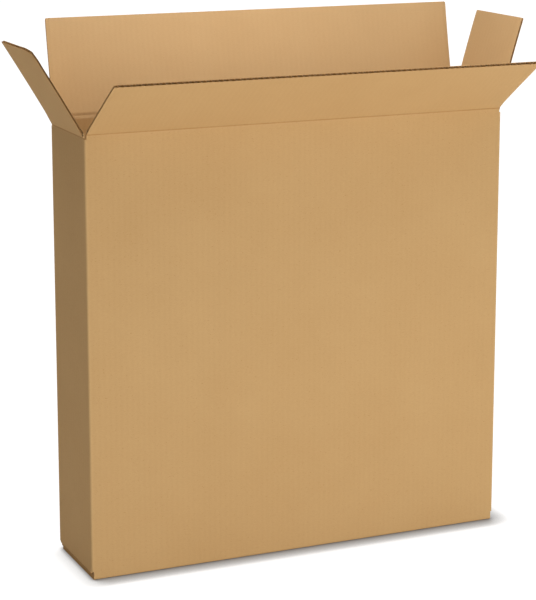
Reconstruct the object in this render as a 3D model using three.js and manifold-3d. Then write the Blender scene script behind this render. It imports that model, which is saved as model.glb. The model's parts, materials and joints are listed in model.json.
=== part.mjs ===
// Corrugated shipping box, tall and shallow, standing upright with its four top flaps open.
// Millimetres, +Z up. X runs along the wide front and Y from the front to the back.
// The origin is on the floor, in the middle of the four walls.
//
// The box is one cut, scored and folded sheet. Its walls, its glued bottom and its glued side seam
// are one solid. Each top flap turns about its crease, so it is a solid of its own.

import * as THREE from "three";
import { mergeGeometries, mergeVertices } from "three/addons/utils/BufferGeometryUtils.js";
import Module from "manifold-3d";

// Outside sizes of the folded box
const WIDTH = 620; // along the front
const DEPTH = 140; // from front to back
const HEIGHT = 610; // from the floor to the crease of the front flap
const FLAP_LENGTH = 134; // the same on all four sides, as the sheet has straight edges

// Board
const BOARD = 4; // thickness
const LINER = 0.5; // each of the two flat facing papers
const MEDIUM = 0.5; // the wavy paper between them
const FLUTE_PITCH = 7.9; // from one wave crest to the next
const FLUTE_MOUTH_DEPTH = 12; // how far the open flutes reach in from a cut edge
const FLUTE_MOUTH_SHARE = 0.8; // of one wave's length, the part that is open along a liner
const FLUTE_STEPS = 5; // straight steps in the curve of one flute

// Folds, slots and clearances
const FOLD_RADIUS = 3; // outside of a folded edge
const FOLD_STEPS = 5;
const LAYER_GAP = 0.5; // between flaps that lie on each other when the box is closed
const CREASE_GAP = 0.4; // left along a crease between a wall and its flap
const FRONT_FLAP_INSET = 3; // half of the slot, taken off each side of the front and back flaps
const END_FLAP_CLEARANCE = 1; // from an end flap's side to the wall beside it, once folded in
const SLOT_BELOW_CREASE = 2; // how far a slot is cut past the lowest crease

// Side seam, where the two ends of the sheet are glued
const SEAM_TAB_WIDTH = 34;
const SEAM_TAB_END_GAP = 14; // left above and below the tab
const SEAM_EDGE_RECESS = 1.5; // the cut edge of the right wall stops short of the back face
const SEAM_GAP = 0.3;

// How far each flap leans outwards from upright, in degrees
const FRONT_LEAN = 56;
const BACK_LEAN = 12;
const LEFT_LEAN = 31;
const RIGHT_LEAN = 16;

const CUT_MARGIN = 1; // how far a cutting solid reaches past what it cuts
const FACE_MARGIN = 0.2; // the same, where it passes a wall's inner face
const SAME_POINT = 1e-4; // corners closer than this are one corner

// The end flaps fold in first, then the front flap, and the back flap lies over them all.
// Each crease is one board higher than the one under it.
const LAYER = BOARD + LAYER_GAP;
const FRONT_CREASE = HEIGHT;
const BACK_CREASE = HEIGHT + LAYER;
const END_CREASE = HEIGHT - LAYER;
const SLOT_FLOOR = END_CREASE - SLOT_BELOW_CREASE;

const HALF_WIDTH = WIDTH / 2;
const HALF_DEPTH = DEPTH / 2;
const HALF_FRONT_FLAP = HALF_WIDTH - FRONT_FLAP_INSET;
const HALF_END_FLAP = HALF_DEPTH - BOARD - END_FLAP_CLEARANCE;

const kraftBoard = { color: 0xc49e6d, roughness: 0.88, metalness: 0 };

const wasm = await Module();
wasm.setup();

function toSolid(geometry) {
  const bare = geometry.clone();
  bare.deleteAttribute("normal");
  bare.deleteAttribute("uv");
  const merged = mergeVertices(bare, SAME_POINT);
  const mesh = new wasm.Mesh({
    numProp: 3,
    vertProperties: new Float32Array(merged.attributes.position.array),
    triVerts: new Uint32Array(merged.index.array),
  });
  return new wasm.Manifold(mesh);
}

function toGeometry(solid) {
  const mesh = solid.getMesh();
  const geometry = new THREE.BufferGeometry();
  geometry.setAttribute("position", new THREE.BufferAttribute(mesh.vertProperties, 3));
  geometry.setIndex(new THREE.BufferAttribute(mesh.triVerts, 1));
  geometry.computeVertexNormals();
  return geometry;
}

function shapeOf(points) {
  return new THREE.Shape(points.map(([x, y]) => new THREE.Vector2(x, y)));
}

function arc(centreX, centreY, startDegrees, endDegrees) {
  const points = [];
  for (let step = 0; step <= FOLD_STEPS; step += 1) {
    const share = step / FOLD_STEPS;
    const angle = THREE.MathUtils.degToRad(startDegrees + (endDegrees - startDegrees) * share);
    points.push([centreX + FOLD_RADIUS * Math.cos(angle), centreY + FOLD_RADIUS * Math.sin(angle)]);
  }
  return points;
}

function extrude(points, depth) {
  return new THREE.ExtrudeGeometry(shapeOf(points), { depth, bevelEnabled: false });
}

// An outline drawn in (Y, Z), extruded along X over plus and minus halfLength.
function alongX(points, halfLength) {
  const geometry = extrude(points, 2 * halfLength);
  const toWorld = new THREE.Matrix4().set(0, 0, 1, -halfLength, 1, 0, 0, 0, 0, 1, 0, 0, 0, 0, 0, 1);
  return geometry.applyMatrix4(toWorld);
}

// An outline drawn in (distance inwards, Z), standing on the left wall when side is -1
// and on the right wall when side is 1, extruded along Y over plus and minus halfLength.
function alongY(points, halfLength, side) {
  const turned = alongX(points, halfLength);
  turned.rotateZ(side * THREE.MathUtils.degToRad(90));
  return turned.translate(side * HALF_WIDTH, 0, 0);
}

function block(low, high) {
  const size = high.map((value, axis) => value - low[axis]);
  const geometry = new THREE.BoxGeometry(...size);
  return geometry.translate(...high.map((value, axis) => (value + low[axis]) / 2));
}

// The four walls, seen from above. The sheet's two ends meet at the back right corner:
// the back wall's fold turns in behind the cut edge of the right wall.
function wallOutline() {
  const foldX = HALF_WIDTH - FOLD_RADIUS;
  const foldY = HALF_DEPTH - FOLD_RADIUS;
  const seamX = HALF_WIDTH - BOARD;
  return [
    ...arc(-foldX, -foldY, 180, 270),
    ...arc(foldX, -foldY, 270, 360),
    [HALF_WIDTH, HALF_DEPTH - SEAM_EDGE_RECESS],
    [seamX, HALF_DEPTH - SEAM_EDGE_RECESS],
    [seamX, foldY],
    ...arc(seamX - SEAM_GAP - FOLD_RADIUS, foldY, 0, 90),
    ...arc(-foldX, foldY, 90, 180),
  ];
}

function walls() {
  const floor = 3 * BOARD;
  const shape = shapeOf(wallOutline());
  const insideX = HALF_WIDTH - BOARD;
  const insideY = HALF_DEPTH - BOARD;
  shape.holes.push(shapeOf([
    [-insideX, -insideY],
    [-insideX, insideY],
    [insideX, insideY],
    [insideX, -insideY],
  ]));
  const geometry = new THREE.ExtrudeGeometry(shape, { depth: BACK_CREASE - floor, bevelEnabled: false });
  return geometry.translate(0, 0, floor);
}

// A bottom flap with the foot of its wall, in (distance inwards, Z). The fold's outside is round.
function bottomFold(underside) {
  const wallTop = 3 * BOARD + CUT_MARGIN;
  return [
    ...arc(FOLD_RADIUS, underside + FOLD_RADIUS, 180, 270),
    [FLAP_LENGTH, underside],
    [FLAP_LENGTH, underside + BOARD],
    [BOARD, underside + BOARD],
    [BOARD, wallTop],
    [0, wallTop],
  ];
}

function mirrored(points) {
  return points.map(([y, z]) => [-y, z]).reverse();
}

function shifted(points, offset) {
  return points.map(([y, z]) => [y + offset, z]);
}

// Everything above a wall's slanted top edge, in (distance inwards, Z).
function creaseCut(crease) {
  const top = BACK_CREASE + CUT_MARGIN;
  const inner = BOARD + FACE_MARGIN;
  return [
    [-2 * LAYER, crease + 2 * LAYER],
    [inner, crease - inner],
    [inner, top + 2 * LAYER],
    [-2 * LAYER, top + 2 * LAYER],
  ];
}

function slot(sideX, sideY) {
  const outerX = HALF_WIDTH + CUT_MARGIN;
  const outerY = HALF_DEPTH + CUT_MARGIN;
  const low = [
    sideX > 0 ? HALF_FRONT_FLAP : -outerX,
    sideY > 0 ? HALF_END_FLAP : -outerY,
    SLOT_FLOOR,
  ];
  const high = [
    sideX > 0 ? outerX : -HALF_FRONT_FLAP,
    sideY > 0 ? outerY : -HALF_END_FLAP,
    BACK_CREASE + CUT_MARGIN,
  ];
  return block(low, high);
}

// The glued tab runs on from the back wall's fold, along the inside of the right wall.
function seamTab() {
  const low = [
    HALF_WIDTH - 2 * BOARD,
    HALF_DEPTH - BOARD - SEAM_TAB_WIDTH,
    3 * BOARD + SEAM_TAB_END_GAP,
  ];
  const high = [HALF_WIDTH - BOARD / 2, HALF_DEPTH - BOARD / 2, END_CREASE - SEAM_TAB_END_GAP];
  return block(low, high);
}

function boxBody() {
  const frontFold = shifted(bottomFold(0), -HALF_DEPTH);
  const backFold = shifted(mirrored(bottomFold(BOARD)), HALF_DEPTH);
  const frontCut = shifted(creaseCut(FRONT_CREASE), -HALF_DEPTH);
  const backCut = shifted(mirrored(creaseCut(BACK_CREASE)), HALF_DEPTH);
  const insideDepth = HALF_DEPTH - BOARD;

  let solid = toSolid(walls());
  solid = solid.add(toSolid(alongX(frontFold, HALF_FRONT_FLAP)));
  solid = solid.add(toSolid(alongX(backFold, HALF_FRONT_FLAP)));
  solid = solid.add(toSolid(seamTab()));
  solid = solid.subtract(toSolid(alongX(frontCut, HALF_WIDTH + CUT_MARGIN)));
  solid = solid.subtract(toSolid(alongX(backCut, HALF_WIDTH + CUT_MARGIN)));
  for (const side of [-1, 1]) {
    solid = solid.add(toSolid(alongY(bottomFold(2 * BOARD), HALF_END_FLAP, side)));
    solid = solid.subtract(toSolid(alongY(creaseCut(END_CREASE), insideDepth, side)));
    for (const sideY of [-1, 1]) {
      solid = solid.subtract(toSolid(slot(side, sideY)));
    }
  }
  return toGeometry(solid);
}

// One open flute, in (along the edge, through the board). It is bounded by a liner and by the wavy
// paper's curve, and every second one hangs the other way up.
function fluteOutline(centre, upsideDown) {
  const wide = (FLUTE_MOUTH_SHARE * FLUTE_PITCH) / 2;
  const deep = BOARD - 2 * LINER - MEDIUM;
  const points = [];
  for (let step = 0; step <= FLUTE_STEPS; step += 1) {
    const across = (2 * step) / FLUTE_STEPS - 1;
    const dip = (deep * (1 + Math.cos(Math.PI * across))) / 2;
    points.push([centre + wide * across, upsideDown ? LINER + dip : BOARD - LINER - dip]);
  }
  return upsideDown ? points.reverse() : points;
}

function fluteMouths(halfLength) {
  const pitches = Math.floor((2 * halfLength - 2 * LINER) / FLUTE_PITCH - FLUTE_MOUTH_SHARE);
  const mouths = [];
  for (let half = 0; half <= 2 * pitches; half += 1) {
    const centre = (half - pitches) * (FLUTE_PITCH / 2);
    const mouth = extrude(fluteOutline(centre, half % 2 === 1), FLUTE_MOUTH_DEPTH + CUT_MARGIN);
    mouths.push(mouth.translate(0, 0, FLAP_LENGTH - FLUTE_MOUTH_DEPTH));
  }
  return mergeGeometries(mouths);
}

// A flap in its own frame: the crease is the X axis, Y points into the box and Z along the flap.
// Its foot is cut at 45 degrees, so that it meets the wall's slanted top when it is closed.
function flap(halfLength) {
  const profile = [
    [0, CREASE_GAP],
    [BOARD, BOARD + CREASE_GAP],
    [BOARD, FLAP_LENGTH],
    [0, FLAP_LENGTH],
  ];
  const sheet = toSolid(alongX(profile, halfLength));
  return toGeometry(sheet.subtract(toSolid(fluteMouths(halfLength))));
}

function namedMesh(name, geometry) {
  const mesh = new THREE.Mesh(geometry, new THREE.MeshStandardMaterial(kraftBoard));
  mesh.name = name;
  return mesh;
}

function hingedFlap(name, halfLength, crease, turnDegrees, leanDegrees) {
  const mesh = namedMesh(name, flap(halfLength));
  mesh.rotation.x = THREE.MathUtils.degToRad(leanDegrees);
  const hinge = new THREE.Group();
  hinge.position.set(...crease);
  hinge.rotation.z = THREE.MathUtils.degToRad(turnDegrees);
  hinge.add(mesh);
  return hinge;
}

const box = new THREE.Group();
box.add(namedMesh("box_body", boxBody()));
box.add(hingedFlap("front_flap", HALF_FRONT_FLAP, [0, -HALF_DEPTH, FRONT_CREASE], 0, FRONT_LEAN));
box.add(hingedFlap("back_flap", HALF_FRONT_FLAP, [0, HALF_DEPTH, BACK_CREASE], 180, BACK_LEAN));
box.add(hingedFlap("left_flap", HALF_END_FLAP, [-HALF_WIDTH, 0, END_CREASE], -90, LEFT_LEAN));
box.add(hingedFlap("right_flap", HALF_END_FLAP, [HALF_WIDTH, 0, END_CREASE], 90, RIGHT_LEAN));

export default box;
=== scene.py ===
# %% [markdown]
# # A corrugated shipping box with its flaps open
# The box is one sheet of kraft board. This lesson dresses its walls and flaps: the paper, the
# open flutes in the cut edges, and the crushed board along every crease.
# Everything is in metres, +Z up, with the origin on the floor in the middle of the four walls.

# %% Load the frame
import json
import math

import bmesh
import bpy
import numpy as np
from mathutils import Matrix, Vector


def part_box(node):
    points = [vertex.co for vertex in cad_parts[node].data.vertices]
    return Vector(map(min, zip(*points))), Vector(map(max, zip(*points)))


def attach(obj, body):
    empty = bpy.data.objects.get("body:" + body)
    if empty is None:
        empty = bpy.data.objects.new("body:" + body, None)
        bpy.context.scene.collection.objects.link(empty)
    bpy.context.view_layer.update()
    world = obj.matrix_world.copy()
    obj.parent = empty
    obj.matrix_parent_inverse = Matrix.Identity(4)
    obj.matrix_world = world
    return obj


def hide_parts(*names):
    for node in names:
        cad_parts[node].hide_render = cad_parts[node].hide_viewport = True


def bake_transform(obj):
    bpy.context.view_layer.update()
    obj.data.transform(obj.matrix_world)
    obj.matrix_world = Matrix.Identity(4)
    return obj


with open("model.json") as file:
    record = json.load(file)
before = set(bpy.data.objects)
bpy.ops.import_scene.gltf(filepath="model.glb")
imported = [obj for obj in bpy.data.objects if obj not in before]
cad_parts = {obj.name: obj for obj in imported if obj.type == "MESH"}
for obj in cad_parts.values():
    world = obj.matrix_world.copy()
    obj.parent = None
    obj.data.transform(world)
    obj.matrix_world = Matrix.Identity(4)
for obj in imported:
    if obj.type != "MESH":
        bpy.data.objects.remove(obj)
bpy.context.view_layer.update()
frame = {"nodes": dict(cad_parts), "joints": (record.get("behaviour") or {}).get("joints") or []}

# %% [markdown]
# ## Sizes
# The frame gives the walls, the creases and the lean of each flap. Only the board's thickness and
# its papers are written here: two flat liners with a wavy medium between them.

# %% Sizes of the board
MM = 0.001
BOARD = 4 * MM
LINER = 0.35 * MM
MEDIUM = 0.25 * MM
FLUTE_PITCH = 7.9 * MM
FLUTE_STEPS = 14
SHEET_STEP = 5 * MM
TINY = 1e-9
CREASE_GAP = 0.4 * MM

_, body_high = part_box("box_body")
HALF_WIDTH = body_high.x
HALF_DEPTH = body_high.y
print("walls, mm:", round(2000 * HALF_WIDTH, 1), "by", round(2000 * HALF_DEPTH, 1))

# %% [markdown]
# ## The camera
# The photographer stood to the left of the front wall and looked down a little. The camera's
# place was worked out from the corners of the box. A lens shift keeps the upright edges almost
# parallel, as in the photograph.

# %% Camera
PHOTO_LONG_SIDE = 600
FOCAL_PIXELS = 2075
OPTICAL_ROW = 228
CAMERA_PLACE = (-1.1616, -2.5989, 1.0275)
CAMERA_TURN = math.radians(23.73)
CAMERA_DIP = math.radians(11.49)


def make_camera():
    data = bpy.data.cameras.new("photo_camera")
    data.sensor_width = 36
    data.lens = data.sensor_width * FOCAL_PIXELS / PHOTO_LONG_SIDE
    data.shift_y = (OPTICAL_ROW - PHOTO_LONG_SIDE / 2) / PHOTO_LONG_SIDE
    camera = bpy.data.objects.new("photo_camera", data)
    bpy.context.scene.collection.objects.link(camera)
    camera.location = CAMERA_PLACE
    camera.rotation_euler = (math.pi / 2 - CAMERA_DIP, 0, -CAMERA_TURN)
    bpy.context.scene.camera = camera
    return camera


camera = make_camera()
print("lens, mm:", round(camera.data.lens, 1), "shift:", round(camera.data.shift_y, 3))

# %% [markdown]
# ## A small kit for shader nodes
# Every material below is a sum of a few patterns. These helpers add one node and give back its
# output, so that a pattern reads like a formula.


# %% Node helpers
def feed(tree, socket, value):
    if isinstance(value, bpy.types.NodeSocket):
        tree.links.new(value, socket)
    else:
        socket.default_value = value


def calc(tree, operation, *values):
    node = tree.nodes.new("ShaderNodeMath")
    node.operation = operation
    for socket, value in zip(node.inputs, values):
        feed(tree, socket, value)
    return node.outputs[0]


def blend_colours(tree, factor, dark, light):
    node = tree.nodes.new("ShaderNodeMix")
    node.data_type = "RGBA"
    feed(tree, node.inputs[0], factor)
    feed(tree, node.inputs[6], dark)
    feed(tree, node.inputs[7], light)
    return node.outputs[2]


def noise(tree, place, stretch, detail=3.0, roughness=0.55):
    scale = tree.nodes.new("ShaderNodeVectorMath")
    scale.operation = "MULTIPLY"
    feed(tree, scale.inputs[0], place)
    scale.inputs[1].default_value = stretch
    node = tree.nodes.new("ShaderNodeTexNoise")
    node.inputs["Scale"].default_value = 1.0
    node.inputs["Detail"].default_value = detail
    node.inputs["Roughness"].default_value = roughness
    feed(tree, node.inputs["Vector"], scale.outputs[0])
    return node.outputs[0]


def soft_step(tree, value, low, high):
    node = tree.nodes.new("ShaderNodeMapRange")
    node.interpolation_type = "SMOOTHSTEP"
    feed(tree, node.inputs[0], value)
    node.inputs[1].default_value = low
    node.inputs[2].default_value = high
    return node.outputs[0]


def linear(red, green, blue):
    values = [v / 255 for v in (red, green, blue)]
    return tuple(v / 12.92 if v <= 0.04045 else ((v + 0.055) / 1.055) ** 2.4 for v in values) + (1.0,)


# %% [markdown]
# ## Kraft paper
# Kraft liner is unbleached paper. From a step away it is one even brown. Closer, it is cloudy,
# long fibres run across the flutes, a few dark specks lie in it, and the flutes print through as
# faint upright stripes. The same patterns go on the walls, which read the object's coordinates,
# and on the flaps, which read a map that turns with the sheet. The inside of the flaps is a
# slightly greyer paper than the outside.

# %% Kraft paper
KRAFT_OUTSIDE = (linear(177, 134, 80), linear(211, 176, 125))
KRAFT_INSIDE = (linear(177, 137, 88), linear(211, 179, 134))
CLOUDS = {"stretch": (9, 9, 9), "detail": 4.0}
FIBRES = {"stretch": (260, 260, 1300), "detail": 3.0, "roughness": 0.6}
GRAIN = {"stretch": (900, 900, 1500), "detail": 2.0}
SPECKS = {"stretch": (520, 520, 760), "detail": 1.0}
SPECK_FADE = (0.70, 0.76)
BASE_TONE = 0.21
CLOUD_TONE = 0.24
FIBRE_TONE = 0.36
GRAIN_TONE = 0.16
SPECK_TONE = -0.35
STRIPE_TONE = 0.012
PRINT_THROUGH = 0.03 * MM
FIBRE_RELIEF = 0.05 * MM
LINER_ROUGHNESS = 0.76
FIBRE_ROUGHNESS = 0.16
LINER_GLOSS = 0.25


def kraft_patterns(tree, place, along):
    clouds = noise(tree, place, **CLOUDS)
    fibres = noise(tree, place, **FIBRES)
    grain = noise(tree, place, **GRAIN)
    specks = soft_step(tree, noise(tree, place, **SPECKS), *SPECK_FADE)
    turns = calc(tree, "MULTIPLY", along, 2 * math.pi / FLUTE_PITCH)
    waves = calc(tree, "COSINE", turns)
    return clouds, fibres, grain, specks, waves


def kraft_shader(tree, place, along, mask=None, mask_shift=0.0, paper=KRAFT_OUTSIDE):
    clouds, fibres, grain, specks, waves = kraft_patterns(tree, place, along)
    tone = calc(tree, "MULTIPLY_ADD", clouds, CLOUD_TONE, BASE_TONE)
    tone = calc(tree, "MULTIPLY_ADD", fibres, FIBRE_TONE, tone)
    tone = calc(tree, "MULTIPLY_ADD", grain, GRAIN_TONE, tone)
    tone = calc(tree, "MULTIPLY_ADD", specks, SPECK_TONE, tone)
    tone = calc(tree, "MULTIPLY_ADD", waves, STRIPE_TONE, tone)
    if mask is not None:
        tone = calc(tree, "MULTIPLY_ADD", mask, mask_shift, tone)
    height = calc(tree, "MULTIPLY", waves, PRINT_THROUGH)
    height = calc(tree, "MULTIPLY_ADD", fibres, FIBRE_RELIEF, height)
    bump = tree.nodes.new("ShaderNodeBump")
    bump.inputs["Strength"].default_value = 1.0
    bump.inputs["Distance"].default_value = 1.0
    feed(tree, bump.inputs["Height"], height)
    shader = tree.nodes["Principled BSDF"]
    feed(tree, shader.inputs["Base Color"], blend_colours(tree, tone, *paper))
    rough = calc(tree, "MULTIPLY_ADD", fibres, FIBRE_ROUGHNESS, LINER_ROUGHNESS)
    feed(tree, shader.inputs["Roughness"], rough)
    feed(tree, shader.inputs["Normal"], bump.outputs[0])
    shader.inputs["Specular IOR Level"].default_value = LINER_GLOSS


def new_material(name):
    material = bpy.data.materials.new(name)
    material.use_nodes = True
    return material, material.node_tree


# %% [markdown]
# ## Kraft paper on the walls
# On a wall the flutes stand upright, so the pattern needs the distance along the wall: X on the
# front and back, Y on the two ends. The outside edges of the folds are rubbed a little lighter.
# The cut sides of the bottom flaps, the glued seam and the slots between the flaps are darker:
# the board's darker medium, with painted shade for its open flutes. In the cut sides the
# darkening lies between the paler lines of the liners.


# %% Wall paper
RUBBED_LIGHTER = 0.22
CUT_MEDIUM_AND_SHADE_DARKER = -0.5
RUB_START = 4 * MM
RUB_END = 1 * MM
SLOT_DEPTH = 12 * MM
LEAST_INSET = 1 * MM
FACES_ALONG = 0.7
LINER_LINE = (0.45, 0.38)


def object_axes(tree):
    coordinates = tree.nodes.new("ShaderNodeTexCoord")
    split = tree.nodes.new("ShaderNodeSeparateXYZ")
    tree.links.new(coordinates.outputs["Object"], split.inputs[0])
    facing = tree.nodes.new("ShaderNodeSeparateXYZ")
    tree.links.new(coordinates.outputs["Normal"], facing.inputs[0])
    return coordinates.outputs["Object"], split.outputs, facing.outputs


def wall_paper():
    material, tree = new_material("kraft_walls")
    place, (x, y, z), (facing_x, facing_y, facing_z) = object_axes(tree)
    on_end = calc(tree, "GREATER_THAN", calc(tree, "ABSOLUTE", facing_x), FACES_ALONG)
    along = calc(tree, "MULTIPLY_ADD", calc(tree, "SUBTRACT", y, x), on_end, x)
    from_middle = calc(tree, "ABSOLUTE", x)
    near_x = soft_step(tree, from_middle, HALF_WIDTH - RUB_START, HALF_WIDTH - RUB_END)
    near_y = soft_step(tree, calc(tree, "ABSOLUTE", y), HALF_DEPTH - RUB_START, HALF_DEPTH - RUB_END)
    rubbed = calc(tree, "MULTIPLY", near_x, near_y)
    at_bottom = calc(tree, "LESS_THAN", z, 2 * BOARD)
    inset = calc(tree, "LESS_THAN", from_middle, HALF_WIDTH - LEAST_INSET)
    in_board = calc(tree, "SUBTRACT", calc(tree, "FRACT", calc(tree, "DIVIDE", z, BOARD)), 0.5)
    between = soft_step(tree, calc(tree, "ABSOLUTE", in_board), *LINER_LINE)
    flap_side = calc(tree, "MULTIPLY", calc(tree, "MULTIPLY", on_end, at_bottom), inset)
    flap_side = calc(tree, "MULTIPLY", flap_side, between)
    to_back = calc(tree, "GREATER_THAN", facing_y, FACES_ALONG)
    in_end_wall = calc(tree, "GREATER_THAN", x, HALF_WIDTH - BOARD)
    recessed = calc(tree, "LESS_THAN", y, HALF_DEPTH - LEAST_INSET)
    seam_side = calc(tree, "MULTIPLY", calc(tree, "MULTIPLY", to_back, in_end_wall), recessed)
    upward = calc(tree, "GREATER_THAN", facing_z, FACES_ALONG)
    at_top = calc(tree, "GREATER_THAN", z, body_high.z - SLOT_DEPTH)
    slot_floor = calc(tree, "MULTIPLY", upward, at_top)
    # Painted shade: the cut sides, the seam side and the slot floors are darkened for the board's darker
    # medium and for the shade in its open flutes.
    cut = calc(tree, "MAXIMUM", calc(tree, "MAXIMUM", flap_side, seam_side), slot_floor)
    worn_and_shaded = calc(tree, "MULTIPLY_ADD", cut, CUT_MEDIUM_AND_SHADE_DARKER, calc(tree, "MULTIPLY", rubbed, RUBBED_LIGHTER))
    kraft_shader(tree, place, along, worn_and_shaded, 1.0)
    return material


walls_material = wall_paper()

# %% [markdown]
# ## Kraft paper on the flaps
# A flap leans and turns, so its paper reads the sheet's own map: metres along the crease and
# metres up the flap. Near a crease the paper is pressed and darker, with painted shade along the
# fold. The medium and the cut edges of the liners are rougher papers with no print and no darker
# crease, so both share one plainer function.

# %% Flap paper
SHEET_MAP = "sheet"
PRESS_AND_SHADE_REACH = 1.8 * MM
PRESS_AND_SHADE_START = 0.2 * MM
PRESS_AND_SHADE_DARKER = -0.5
PRESS_AND_SHADE_UNEVEN = {"stretch": (45, 45, 1), "detail": 3.0}
PRESS_AND_SHADE_CHANGE = 1.2
PRESS_AND_SHADE_LEAST = 0.4
CUT_FIBRES = {"stretch": (900, 900, 900), "detail": 3.0}
MEDIUM_FIBRES = {"stretch": (700, 700, 900), "detail": 4.0}
CUT_EDGE_PAPER = (linear(160, 122, 76), linear(198, 160, 110))
MEDIUM_PAPER = (linear(152, 115, 72), linear(190, 151, 102))
RAW_ROUGHNESS = 0.85
RAW_CHANGE = 0.1
RAW_GLOSS = 0.1


def sheet_axes(tree):
    flat = tree.nodes.new("ShaderNodeUVMap")
    flat.uv_map = SHEET_MAP
    split = tree.nodes.new("ShaderNodeSeparateXYZ")
    tree.links.new(flat.outputs[0], split.inputs[0])
    upright = tree.nodes.new("ShaderNodeCombineXYZ")
    tree.links.new(split.outputs[0], upright.inputs[0])
    tree.links.new(split.outputs[1], upright.inputs[2])
    return upright.outputs[0], split.outputs[0], split.outputs[1]


def flap_paper(name, paper):
    material, tree = new_material(name)
    place, along, _ = sheet_axes(tree)
    kraft_shader(tree, place, along, paper=paper)
    return material


def crease_paper():
    material, tree = new_material("kraft_crease")
    place, along, from_crease = sheet_axes(tree)
    # Painted shade: the paper darkens towards the fold, partly for the pressed board.
    away = calc(tree, "ABSOLUTE", from_crease)
    near = calc(tree, "SUBTRACT", 1.0, soft_step(tree, away, PRESS_AND_SHADE_START, PRESS_AND_SHADE_REACH))
    uneven = calc(tree, "MULTIPLY_ADD", noise(tree, place, **PRESS_AND_SHADE_UNEVEN), PRESS_AND_SHADE_CHANGE, PRESS_AND_SHADE_LEAST)
    kraft_shader(tree, place, along, calc(tree, "MULTIPLY", near, uneven), PRESS_AND_SHADE_DARKER)
    return material


def raw_paper(name, paper, fibre_facts):
    material, tree = new_material(name)
    place, _, _ = sheet_axes(tree)
    fibres = noise(tree, place, **fibre_facts)
    shader = tree.nodes["Principled BSDF"]
    feed(tree, shader.inputs["Base Color"], blend_colours(tree, fibres, *paper))
    rough = calc(tree, "MULTIPLY_ADD", fibres, RAW_CHANGE, RAW_ROUGHNESS)
    feed(tree, shader.inputs["Roughness"], rough)
    shader.inputs["Specular IOR Level"].default_value = RAW_GLOSS
    return material


outside_material = flap_paper("kraft_flap_outside", KRAFT_OUTSIDE)
inside_material = flap_paper("kraft_flap_inside", KRAFT_INSIDE)
crease_material = crease_paper()
edge_material = raw_paper("board_cut_edge", CUT_EDGE_PAPER, CUT_FIBRES)
medium_material = raw_paper("fluting_medium", MEDIUM_PAPER, MEDIUM_FIBRES)
print("materials:", [m.name for m in bpy.data.materials])

# %% [markdown]
# ## Where each flap stands
# A flap is easiest to make lying in its own frame: X along the crease, Y through the board into
# the box, Z up the flap. The joint gives the crease and its axis. At the closed end of its range
# the flap lies flat, so the range also tells how far it leans out at rest.


# %% Flap frames
class FlapFrame:
    def __init__(self, joint):
        self.node = joint["child"]
        self.body = joint["child"]
        self.crease = Vector(joint["pos_m"])
        self.axis = Vector(joint["axis"]).normalized()
        self.lean = math.radians(-joint["range_deg"][0] - 90)
        inward = Vector((0, 0, 1)).cross(self.axis)
        self.wall_frame = self.placed(self.axis, inward, Vector((0, 0, 1)))
        self.frame = self.wall_frame @ Matrix.Rotation(self.lean, 4, "X")
        corners = [self.frame.inverted() @ v.co for v in frame["nodes"][self.node].data.vertices]
        self.half_length = max(c.x for c in corners)
        self.length = max(c.z for c in corners)

    def placed(self, x, y, z):
        matrix = Matrix((x, y, z)).transposed().to_4x4()
        matrix.translation = self.crease
        return matrix


flaps = [FlapFrame(joint) for joint in frame["joints"]]
for flap in flaps:
    print(flap.node, "leans", round(math.degrees(flap.lean), 1), "length mm", round(flap.length / MM, 1))

# %% [markdown]
# ## The wavy medium
# The medium is one paper pressed into a wave. Its crests touch both liners, and at a cut edge
# the wave shows as a row of open flutes. It follows a rule, so Geometry Nodes make it: a grid
# whose height is a cosine of the distance along the crease.


# %% Medium tree
def medium_tree():
    tree = bpy.data.node_groups.new("wavy_medium", "GeometryNodeTree")
    face = tree.interface
    for name, kind in [
        ("Length", "NodeSocketFloat"),
        ("Reach", "NodeSocketFloat"),
        ("Pitch", "NodeSocketFloat"),
        ("Wave Height", "NodeSocketFloat"),
        ("Columns", "NodeSocketInt"),
        ("Rows", "NodeSocketInt"),
        ("Material", "NodeSocketMaterial"),
    ]:
        face.new_socket(name, in_out="INPUT", socket_type=kind)
    face.new_socket("Geometry", in_out="OUTPUT", socket_type="NodeSocketGeometry")
    given = tree.nodes.new("NodeGroupInput").outputs
    grid = tree.nodes.new("GeometryNodeMeshGrid")
    tree.links.new(given["Length"], grid.inputs["Size X"])
    tree.links.new(given["Reach"], grid.inputs["Size Y"])
    tree.links.new(given["Columns"], grid.inputs["Vertices X"])
    tree.links.new(given["Rows"], grid.inputs["Vertices Y"])
    place = tree.nodes.new("ShaderNodeSeparateXYZ")
    tree.links.new(tree.nodes.new("GeometryNodeInputPosition").outputs[0], place.inputs[0])
    share = calc(tree, "DIVIDE", place.outputs[0], given["Pitch"])
    wave = calc(tree, "COSINE", calc(tree, "MULTIPLY", share, 2 * math.pi))
    rise = tree.nodes.new("ShaderNodeCombineXYZ")
    tree.links.new(calc(tree, "MULTIPLY", wave, given["Wave Height"]), rise.inputs[2])
    move = tree.nodes.new("GeometryNodeSetPosition")
    tree.links.new(grid.outputs["Mesh"], move.inputs["Geometry"])
    tree.links.new(rise.outputs[0], move.inputs["Offset"])
    real = tree.nodes.new("GeometryNodeRealizeInstances")
    tree.links.new(move.outputs[0], real.inputs[0])
    paint = tree.nodes.new("GeometryNodeSetMaterial")
    tree.links.new(real.outputs[0], paint.inputs["Geometry"])
    tree.links.new(given["Material"], paint.inputs["Material"])
    result = tree.nodes.new("NodeGroupOutput")
    tree.links.new(paint.outputs[0], result.inputs[0])
    return tree


medium_nodes = medium_tree()
MEDIUM_START = 4.5 * MM
MEDIUM_ROWS = 12
TIP_CROWDING = 1.8


def vertex_array(mesh):
    values = np.empty(len(mesh.vertices) * 3)
    mesh.vertices.foreach_get("co", values)
    return values.reshape(-1, 3)


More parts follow.
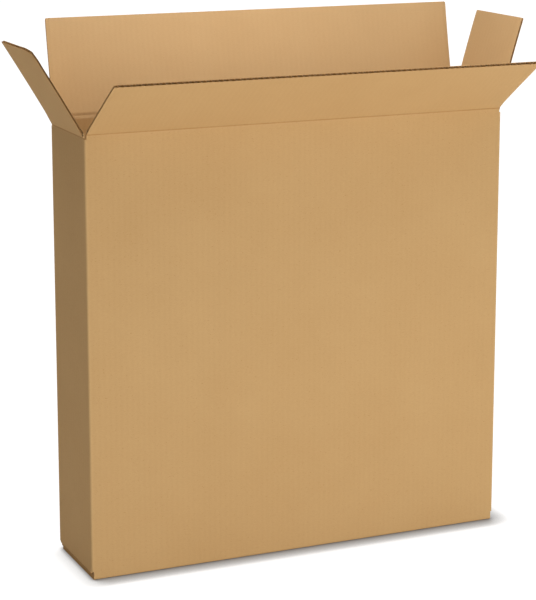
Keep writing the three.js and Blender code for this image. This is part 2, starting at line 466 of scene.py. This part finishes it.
def medium_mesh(flap):
    carrier = bpy.data.objects.new("medium_maker", bpy.data.meshes.new("medium_maker"))
    bpy.context.scene.collection.objects.link(carrier)
    modifier = carrier.modifiers.new("wave", "NODES")
    modifier.node_group = medium_nodes
    length = 2 * (flap.half_length - LINER / 2)
    values = {
        "Length": length,
        "Reach": flap.length - MEDIUM_START,
        "Pitch": FLUTE_PITCH,
        "Wave Height": (BOARD - 2 * LINER - MEDIUM) / 2,
        "Columns": int(length / FLUTE_PITCH * FLUTE_STEPS) + 1,
        "Rows": MEDIUM_ROWS,
        "Material": medium_material,
    }
    for item in medium_nodes.interface.items_tree:
        if item.in_out == "INPUT":
            modifier[item.identifier] = values[item.name]
    thickness = carrier.modifiers.new("paper", "SOLIDIFY")
    thickness.thickness = MEDIUM
    thickness.offset = 0
    bpy.context.view_layer.update()
    evaluated = carrier.evaluated_get(bpy.context.evaluated_depsgraph_get())
    mesh = bpy.data.meshes.new_from_object(evaluated)
    bpy.data.objects.remove(carrier)
    points = vertex_array(mesh)
    from_tip = np.clip(0.5 - points[:, 1] / values["Reach"], 0, 1) ** TIP_CROWDING
    laid = np.stack(
        [points[:, 0], BOARD / 2 - points[:, 2], flap.length - from_tip * values["Reach"]], axis=1
    )
    mesh.vertices.foreach_set("co", laid.ravel())
    return mesh


# %% [markdown]
# ## The liners
# Each liner is a thin closed sheet with a grid of points, fine enough to bow and to be crushed
# at a corner. The outer liner starts at the crease, the inner one a board's thickness above it.


# %% Liner sheets
def liner_mesh(paper, half_length, low, high, near, far):
    columns = max(2, round(2 * half_length / SHEET_STEP))
    rows = max(2, round((high - low) / SHEET_STEP))
    grid = bmesh.new()
    bmesh.ops.create_grid(grid, x_segments=columns, y_segments=rows, size=1)
    for vertex in grid.verts:
        x, y, _ = vertex.co
        vertex.co = (x * half_length, near, low + (y + 1) / 2 * (high - low))
    bottom = list(grid.faces)
    raised = bmesh.ops.extrude_face_region(grid, geom=bottom)
    for item in raised["geom"]:
        if isinstance(item, bmesh.types.BMVert):
            item.co.y = far
    bmesh.ops.recalc_face_normals(grid, faces=grid.faces)
    for face in grid.faces:
        face.material_index = int(abs(face.normal.y) < 0.5)
    mesh = bpy.data.meshes.new("liner")
    grid.to_mesh(mesh)
    grid.free()
    mesh.materials.append(paper)
    mesh.materials.append(edge_material)
    return mesh


def flap_parts(flap):
    outer = liner_mesh(outside_material, flap.half_length, CREASE_GAP, flap.length, 0, LINER)
    low = BOARD + CREASE_GAP
    inner = liner_mesh(inside_material, flap.half_length, low, flap.length, BOARD - LINER, BOARD)
    return [outer, inner, medium_mesh(flap)]


# %% [markdown]
# ## Warp and wear
# New board is nearly flat, but not quite: each flap bows by a millimetre or less between its
# crease and its tip, by no more than the closed flaps leave free, and its free corners are blunt.
# The front corner of the left flap is soft from handling: it is rounded off and bent inwards, as
# the photograph shows. The knife that cuts the slots runs along the flutes and pinches the two
# liners together there.
# A square corner becomes round when each of its points is pulled along its ray, so that the
# square's two sides land on a quarter of an ellipse.

# %% Shape of a handled flap
BOW = {"front_flap": 0.35 * MM, "back_flap": -1.0 * MM, "left_flap": 0.6 * MM, "right_flap": 0.9 * MM}
BLUNT_CORNER = (1.5 * MM, 1.5 * MM)
SOFT_CORNER = (38 * MM, 20 * MM)
SOFT_END = 1
SOFT_CORNER_BEND = 2 * MM
SOFT_CORNER_REACH = 60 * MM
SIDE_PINCH = 0.35
PINCH_START = 6 * MM
PINCH_RISE = 12 * MM


def rounded_corner(along, up, size):
    wide, high = size
    a = np.clip(1 - along / wide, 0, 1)
    b = np.clip(1 - up / high, 0, 1)
    pull = np.maximum(a, b) / np.maximum(np.hypot(a, b), TINY)
    inside = (a > 0) & (b > 0)
    shift_along = np.where(inside, a * (1 - pull) * wide, 0)
    shift_up = np.where(inside, b * (1 - pull) * high, 0)
    return shift_along, shift_up


def handled(points, flap):
    x, y, z = points.T
    height = np.clip(z / flap.length, 0, 1)
    shaped = points.copy()
    shaped[:, 1] += BOW[flap.node] * 4 * height * (1 - height)
    for end in (-1, 1):
        soft = (flap.node, end) == ("left_flap", SOFT_END)
        along = flap.half_length - end * x
        up = flap.length - z
        shift_along, shift_up = rounded_corner(along, up, SOFT_CORNER if soft else BLUNT_CORNER)
        shaped[:, 0] -= end * shift_along
        shaped[:, 2] -= shift_up
        pinch = SIDE_PINCH * np.clip(1 - along / SHEET_STEP, 0, 1)
        shaped[:, 1] += (BOARD / 2 - y) * pinch * np.clip((z - PINCH_START) / PINCH_RISE, 0, 1)
        if soft:
            share = np.clip(1 - (along + 2 * up) / SOFT_CORNER_REACH, 0, 1)
            shaped[:, 1] += SOFT_CORNER_BEND * share**2
    return shaped


# %% [markdown]
# ## One mesh for each flap
# The two liners and the medium are joined into one mesh, mapped as a flat sheet, shaped and set
# on the crease. The finished flap stands for the plain one in the frame.


# %% Join the papers of a flap
def joined(name, meshes):
    whole = bmesh.new()
    materials = []
    for mesh in meshes:
        start = len(whole.faces)
        whole.from_mesh(mesh)
        whole.faces.ensure_lookup_table()
        for face in whole.faces[start:]:
            material = mesh.materials[face.material_index]
            if material not in materials:
                materials.append(material)
            face.material_index = materials.index(material)
    result = bpy.data.meshes.new(name)
    whole.to_mesh(result)
    whole.free()
    for material in materials:
        result.materials.append(material)
    for mesh in meshes:
        bpy.data.meshes.remove(mesh)
    return result


def map_as_sheet(mesh, along, up):
    corners = np.empty(len(mesh.loops), dtype=np.int32)
    mesh.loops.foreach_get("vertex_index", corners)
    flat = mesh.uv_layers.get(SHEET_MAP) or mesh.uv_layers.new(name=SHEET_MAP)
    flat.data.foreach_set("uv", np.stack([along[corners], up[corners]], axis=1).ravel())


def place_mesh(mesh, points, matrix):
    turned = points @ np.array(matrix.to_3x3()).T + np.array(matrix.translation)
    mesh.vertices.foreach_set("co", turned.ravel())
    mesh.update()


def make_flap(flap):
    mesh = joined(flap.node + "_board", flap_parts(flap))
    points = vertex_array(mesh)
    map_as_sheet(mesh, points[:, 0], points[:, 2] + flap.crease.z)
    place_mesh(mesh, handled(points, flap), flap.frame)
    piece = bpy.data.objects.new(flap.node + "_board", mesh)
    bpy.context.scene.collection.objects.link(piece)
    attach(piece, flap.body)
    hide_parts(flap.node)
    return piece


for flap in flaps:
    piece = make_flap(flap)
    print(piece.name, len(piece.data.polygons), "faces")

# %% [markdown]
# ## Creases
# Along a crease the flutes are crushed flat and both liners bend. A saddle of crushed board
# covers the joint: outside it is a narrow pressed line, inside it is a valley shaped for the lean
# the flap has at rest. Its outline is drawn round the crease by angle and distance, and each
# point of it keeps its distance from the crease along the sheet, which the paper's map needs.

# %% Crease outline
OUTER_PROUD = 0.12 * MM
INNER_PROUD = 0.03 * MM
OUTER_REACH = 1.3 * MM
INNER_REACH = 0.6 * MM
GROOVE_SHARE = 0.12
VALLEY_STEPS = 12
OUTER_EDGES = (3, 4, 5)
OUTER_ROUND = 0.3 * MM


def wall_point(inward, up):
    return Vector((0, inward, up))


def valley(flap):
    reach = math.hypot(BOARD + INNER_PROUD, BOARD)
    first = -math.atan2(BOARD, BOARD + INNER_PROUD)
    last = flap.lean - first
    half_turn = (last - first) / 2
    for step in range(VALLEY_STEPS + 1):
        side = 2 * step / VALLEY_STEPS - 1
        angle = (first + last) / 2 + half_turn * side
        straight = reach * math.cos(half_turn) / math.cos(half_turn * side)
        distance = straight * (1 - GROOVE_SHARE * math.cos(math.pi / 2 * side) ** 2)
        yield wall_point(distance * math.cos(angle), distance * math.sin(angle)), side * BOARD


def saddle_outline(flap):
    lean = Matrix.Rotation(flap.lean, 4, "X")
    half = [
        (-OUTER_PROUD, OUTER_ROUND),
        (-OUTER_PROUD, OUTER_REACH),
        (BOARD / 2, OUTER_REACH),
        (BOARD / 2, BOARD + INNER_REACH),
        (BOARD + INNER_PROUD, BOARD + INNER_REACH),
    ]
    on_wall = [(wall_point(inward, -up), -up) for inward, up in half[::-1]]
    on_flap = [(lean @ wall_point(inward, up), up) for inward, up in half]
    return on_wall + on_flap + list(valley(flap))[::-1]


# %% Crease saddles
def saddle_mesh(flap):
    outline = saddle_outline(flap)
    columns = max(2, round(2 * flap.half_length / (4 * SHEET_STEP)))
    points = []
    for column in range(columns + 1):
        x = flap.half_length * (2 * column / columns - 1)
        points += [(x, place.y, place.z) for place, up in outline]
    count = len(outline)
    faces = []
    for column in range(columns):
        for corner in range(count):
            a = column * count + corner
            b = column * count + (corner + 1) % count
            faces.append((a, b, b + count, a + count))
    faces.append(tuple(range(count))[::-1])
    faces.append(tuple(columns * count + corner for corner in range(count)))
    mesh = bpy.data.meshes.new(flap.node + "_crease")
    mesh.from_pydata(points, [], faces)
    mesh.materials.append(inside_material)
    mesh.materials.append(crease_material)
    # The outer pressed line takes the crease paper, with its painted shade along the fold.
    for column in range(columns):
        for corner in OUTER_EDGES:
            mesh.polygons[column * count + corner].material_index = 1
    shape = bmesh.new()
    shape.from_mesh(mesh)
    bmesh.ops.recalc_face_normals(shape, faces=shape.faces)
    shape.to_mesh(mesh)
    shape.free()
    map_as_sheet(mesh, vertex_array(mesh)[:, 0], np.array([up for _, up in outline] * (columns + 1)))
    return mesh


def make_crease(flap):
    mesh = saddle_mesh(flap)
    place_mesh(mesh, vertex_array(mesh), flap.wall_frame)
    piece = bpy.data.objects.new(mesh.name, mesh)
    bpy.context.scene.collection.objects.link(piece)
    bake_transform(piece)
    return piece


for flap in flaps:
    piece = make_crease(flap)
    print(piece.name, len(piece.data.polygons), "faces")

# %% [markdown]
# ## The walls
# The walls and the glued bottom keep the frame's own shape, and only get their paper.

# %% Paper on the walls
body = frame["nodes"]["box_body"]
body.data.materials.clear()
body.data.materials.append(walls_material)

# %% [markdown]
# ## The floor
# The photograph has a pure white ground with a thin soft shadow where the box stands. The floor
# shows white to the camera and to reflections, darkened where the box is near, which ambient
# occlusion measures. One measure looks straight up, for the narrow line of contact on all sides.
# The other looks to the back and a little to the left, because the shadow in the photograph lies
# in front of the box and hardly beside it. To every other ray the floor is plain matte white, so
# it lights the box as paper would.

# %% Floor
FLOOR_SIZE = 40
SHADOW = {"reach": 30 * MM, "depth": 2.0, "lean": (-0.4, 0.85, 0.35)}
CONTACT_LINE = {"reach": 8 * MM, "depth": 1.5, "lean": (0, 0, 1)}
SHADOW_SAMPLES = 16
SHADOW_GREY = (0.05, 0.05, 0.05, 1)
PLAIN_WHITE = (1, 1, 1, 1)
MATTE_WHITE = (0.8, 0.8, 0.8, 1)
GLOW_LEVEL = 1.32
GLOW_SHARE = 0.7


def dimmed_near_box(tree, facts):
    near = tree.nodes.new("ShaderNodeAmbientOcclusion")
    near.samples = SHADOW_SAMPLES
    near.inputs["Distance"].default_value = facts["reach"]
    direction = tree.nodes.new("ShaderNodeVectorMath")
    direction.operation = "NORMALIZE"
    direction.inputs[0].default_value = facts["lean"]
    tree.links.new(direction.outputs[0], near.inputs["Normal"])
    return calc(tree, "POWER", near.outputs["AO"], facts["depth"])


def seen_as_background(tree):
    path = tree.nodes.new("ShaderNodeLightPath")
    seen = calc(tree, "MAXIMUM", path.outputs["Is Camera Ray"], path.outputs["Is Transmission Ray"])
    return calc(tree, "MAXIMUM", seen, path.outputs["Is Glossy Ray"])


def floor_material():
    material, tree = new_material("studio_floor")
    tree.nodes.remove(tree.nodes["Principled BSDF"])
    matte = tree.nodes.new("ShaderNodeBsdfDiffuse")
    matte.inputs[0].default_value = MATTE_WHITE
    glow = tree.nodes.new("ShaderNodeEmission")
    dim = calc(tree, "MULTIPLY", dimmed_near_box(tree, SHADOW), dimmed_near_box(tree, CONTACT_LINE))
    feed(tree, glow.inputs[0], blend_colours(tree, dim, SHADOW_GREY, PLAIN_WHITE))
    glow.inputs[1].default_value = GLOW_LEVEL
    shown = tree.nodes.new("ShaderNodeMixShader")
    shown.inputs[0].default_value = GLOW_SHARE
    tree.links.new(matte.outputs[0], shown.inputs[1])
    tree.links.new(glow.outputs[0], shown.inputs[2])
    choice = tree.nodes.new("ShaderNodeMixShader")
    feed(tree, choice.inputs[0], seen_as_background(tree))
    tree.links.new(matte.outputs[0], choice.inputs[1])
    tree.links.new(shown.outputs[0], choice.inputs[2])
    tree.links.new(choice.outputs[0], tree.nodes["Material Output"].inputs[0])
    return material


def make_floor():
    half = FLOOR_SIZE / 2
    mesh = bpy.data.meshes.new("floor")
    corners = [(-half, -half, 0), (half, -half, 0), (half, half, 0), (-half, half, 0)]
    mesh.from_pydata(corners, [], [(0, 1, 2, 3)])
    mesh.materials.append(floor_material())
    floor = bpy.data.objects.new("floor", mesh)
    bpy.context.scene.collection.objects.link(floor)


make_floor()

# %% [markdown]
# ## Light
# The photograph has no hard shadow: the front wall and the underside of the front flap are
# equally bright, the left end is half as bright, and the insides of the flaps are bright again.
# A low soft sun and a long lamp near the floor do the front, a soft box over the opening does the
# insides of the flaps, and a soft sun from above and the white sky fill the rest. A last sun
# lights the back, which the photograph doesn't show.

# %% Light
SKY_LEVEL = 0.18
WHITE = (1.0, 1.0, 1.0)
WARM_WHITE = (1.0, 0.95, 0.88)
SOFTNESS = math.radians(40)
FRONT_SUN = {"level": 0.72, "colour": WHITE, "place": (0.25, -1.0, 0.10), "aim": (0, 0, 0)}
TOP_SUN = {"level": 1.2, "colour": WARM_WHITE, "place": (-0.1, 0.0, 1.0), "aim": (0, 0, 0)}
LOW_LAMP = {"level": 9.4, "colour": WHITE, "place": (0.25, -1.5, 0.12), "aim": (0, 0, 0.45)}
LOW_LAMP_SIZE = (1.6, 0.2)
OPENING_LAMP = {"level": 3.0, "colour": WHITE, "place": (-0.03, -0.22, 1.15), "aim": (0.12, 0.05, 0.65)}
OPENING_LAMP_SIZE = (0.7, 0.2)
BACK_SUN = {"level": 1.3, "colour": WHITE, "place": (0.35, 1.0, 0.35), "aim": (0, 0, 0)}


def make_sky():
    world = bpy.data.worlds.new("studio_sky")
    world.use_nodes = True
    tree = world.node_tree
    sky = tree.nodes["Background"]
    seen = seen_as_background(tree)
    feed(tree, sky.inputs[0], blend_colours(tree, seen, (*WARM_WHITE, 1), PLAIN_WHITE))
    feed(tree, sky.inputs[1], calc(tree, "MULTIPLY_ADD", seen, 1 - SKY_LEVEL, SKY_LEVEL))
    bpy.context.scene.world = world


def lamp(name, kind, facts):
    data = bpy.data.lights.new(name, kind)
    data.energy = facts["level"]
    data.color = facts["colour"]
    light = bpy.data.objects.new(name, data)
    bpy.context.scene.collection.objects.link(light)
    place = Vector(facts["place"])
    light.location = place
    light.rotation_mode = "QUATERNION"
    light.rotation_quaternion = (place - Vector(facts["aim"])).to_track_quat("Z", "Y")
    light.visible_camera = False
    return data


def soft_sun(name, facts):
    lamp(name, "SUN", facts).angle = SOFTNESS


def long_lamp(name, facts, size):
    data = lamp(name, "AREA", facts)
    data.shape = "RECTANGLE"
    data.size, data.size_y = size


def make_lamps():
    soft_sun("front_sun", FRONT_SUN)
    soft_sun("top_sun", TOP_SUN)
    soft_sun("back_sun", BACK_SUN)
    long_lamp("low_lamp", LOW_LAMP, LOW_LAMP_SIZE)
    long_lamp("opening_lamp", OPENING_LAMP, OPENING_LAMP_SIZE)


make_sky()
make_lamps()
bpy.context.scene.view_settings.view_transform = "Standard"
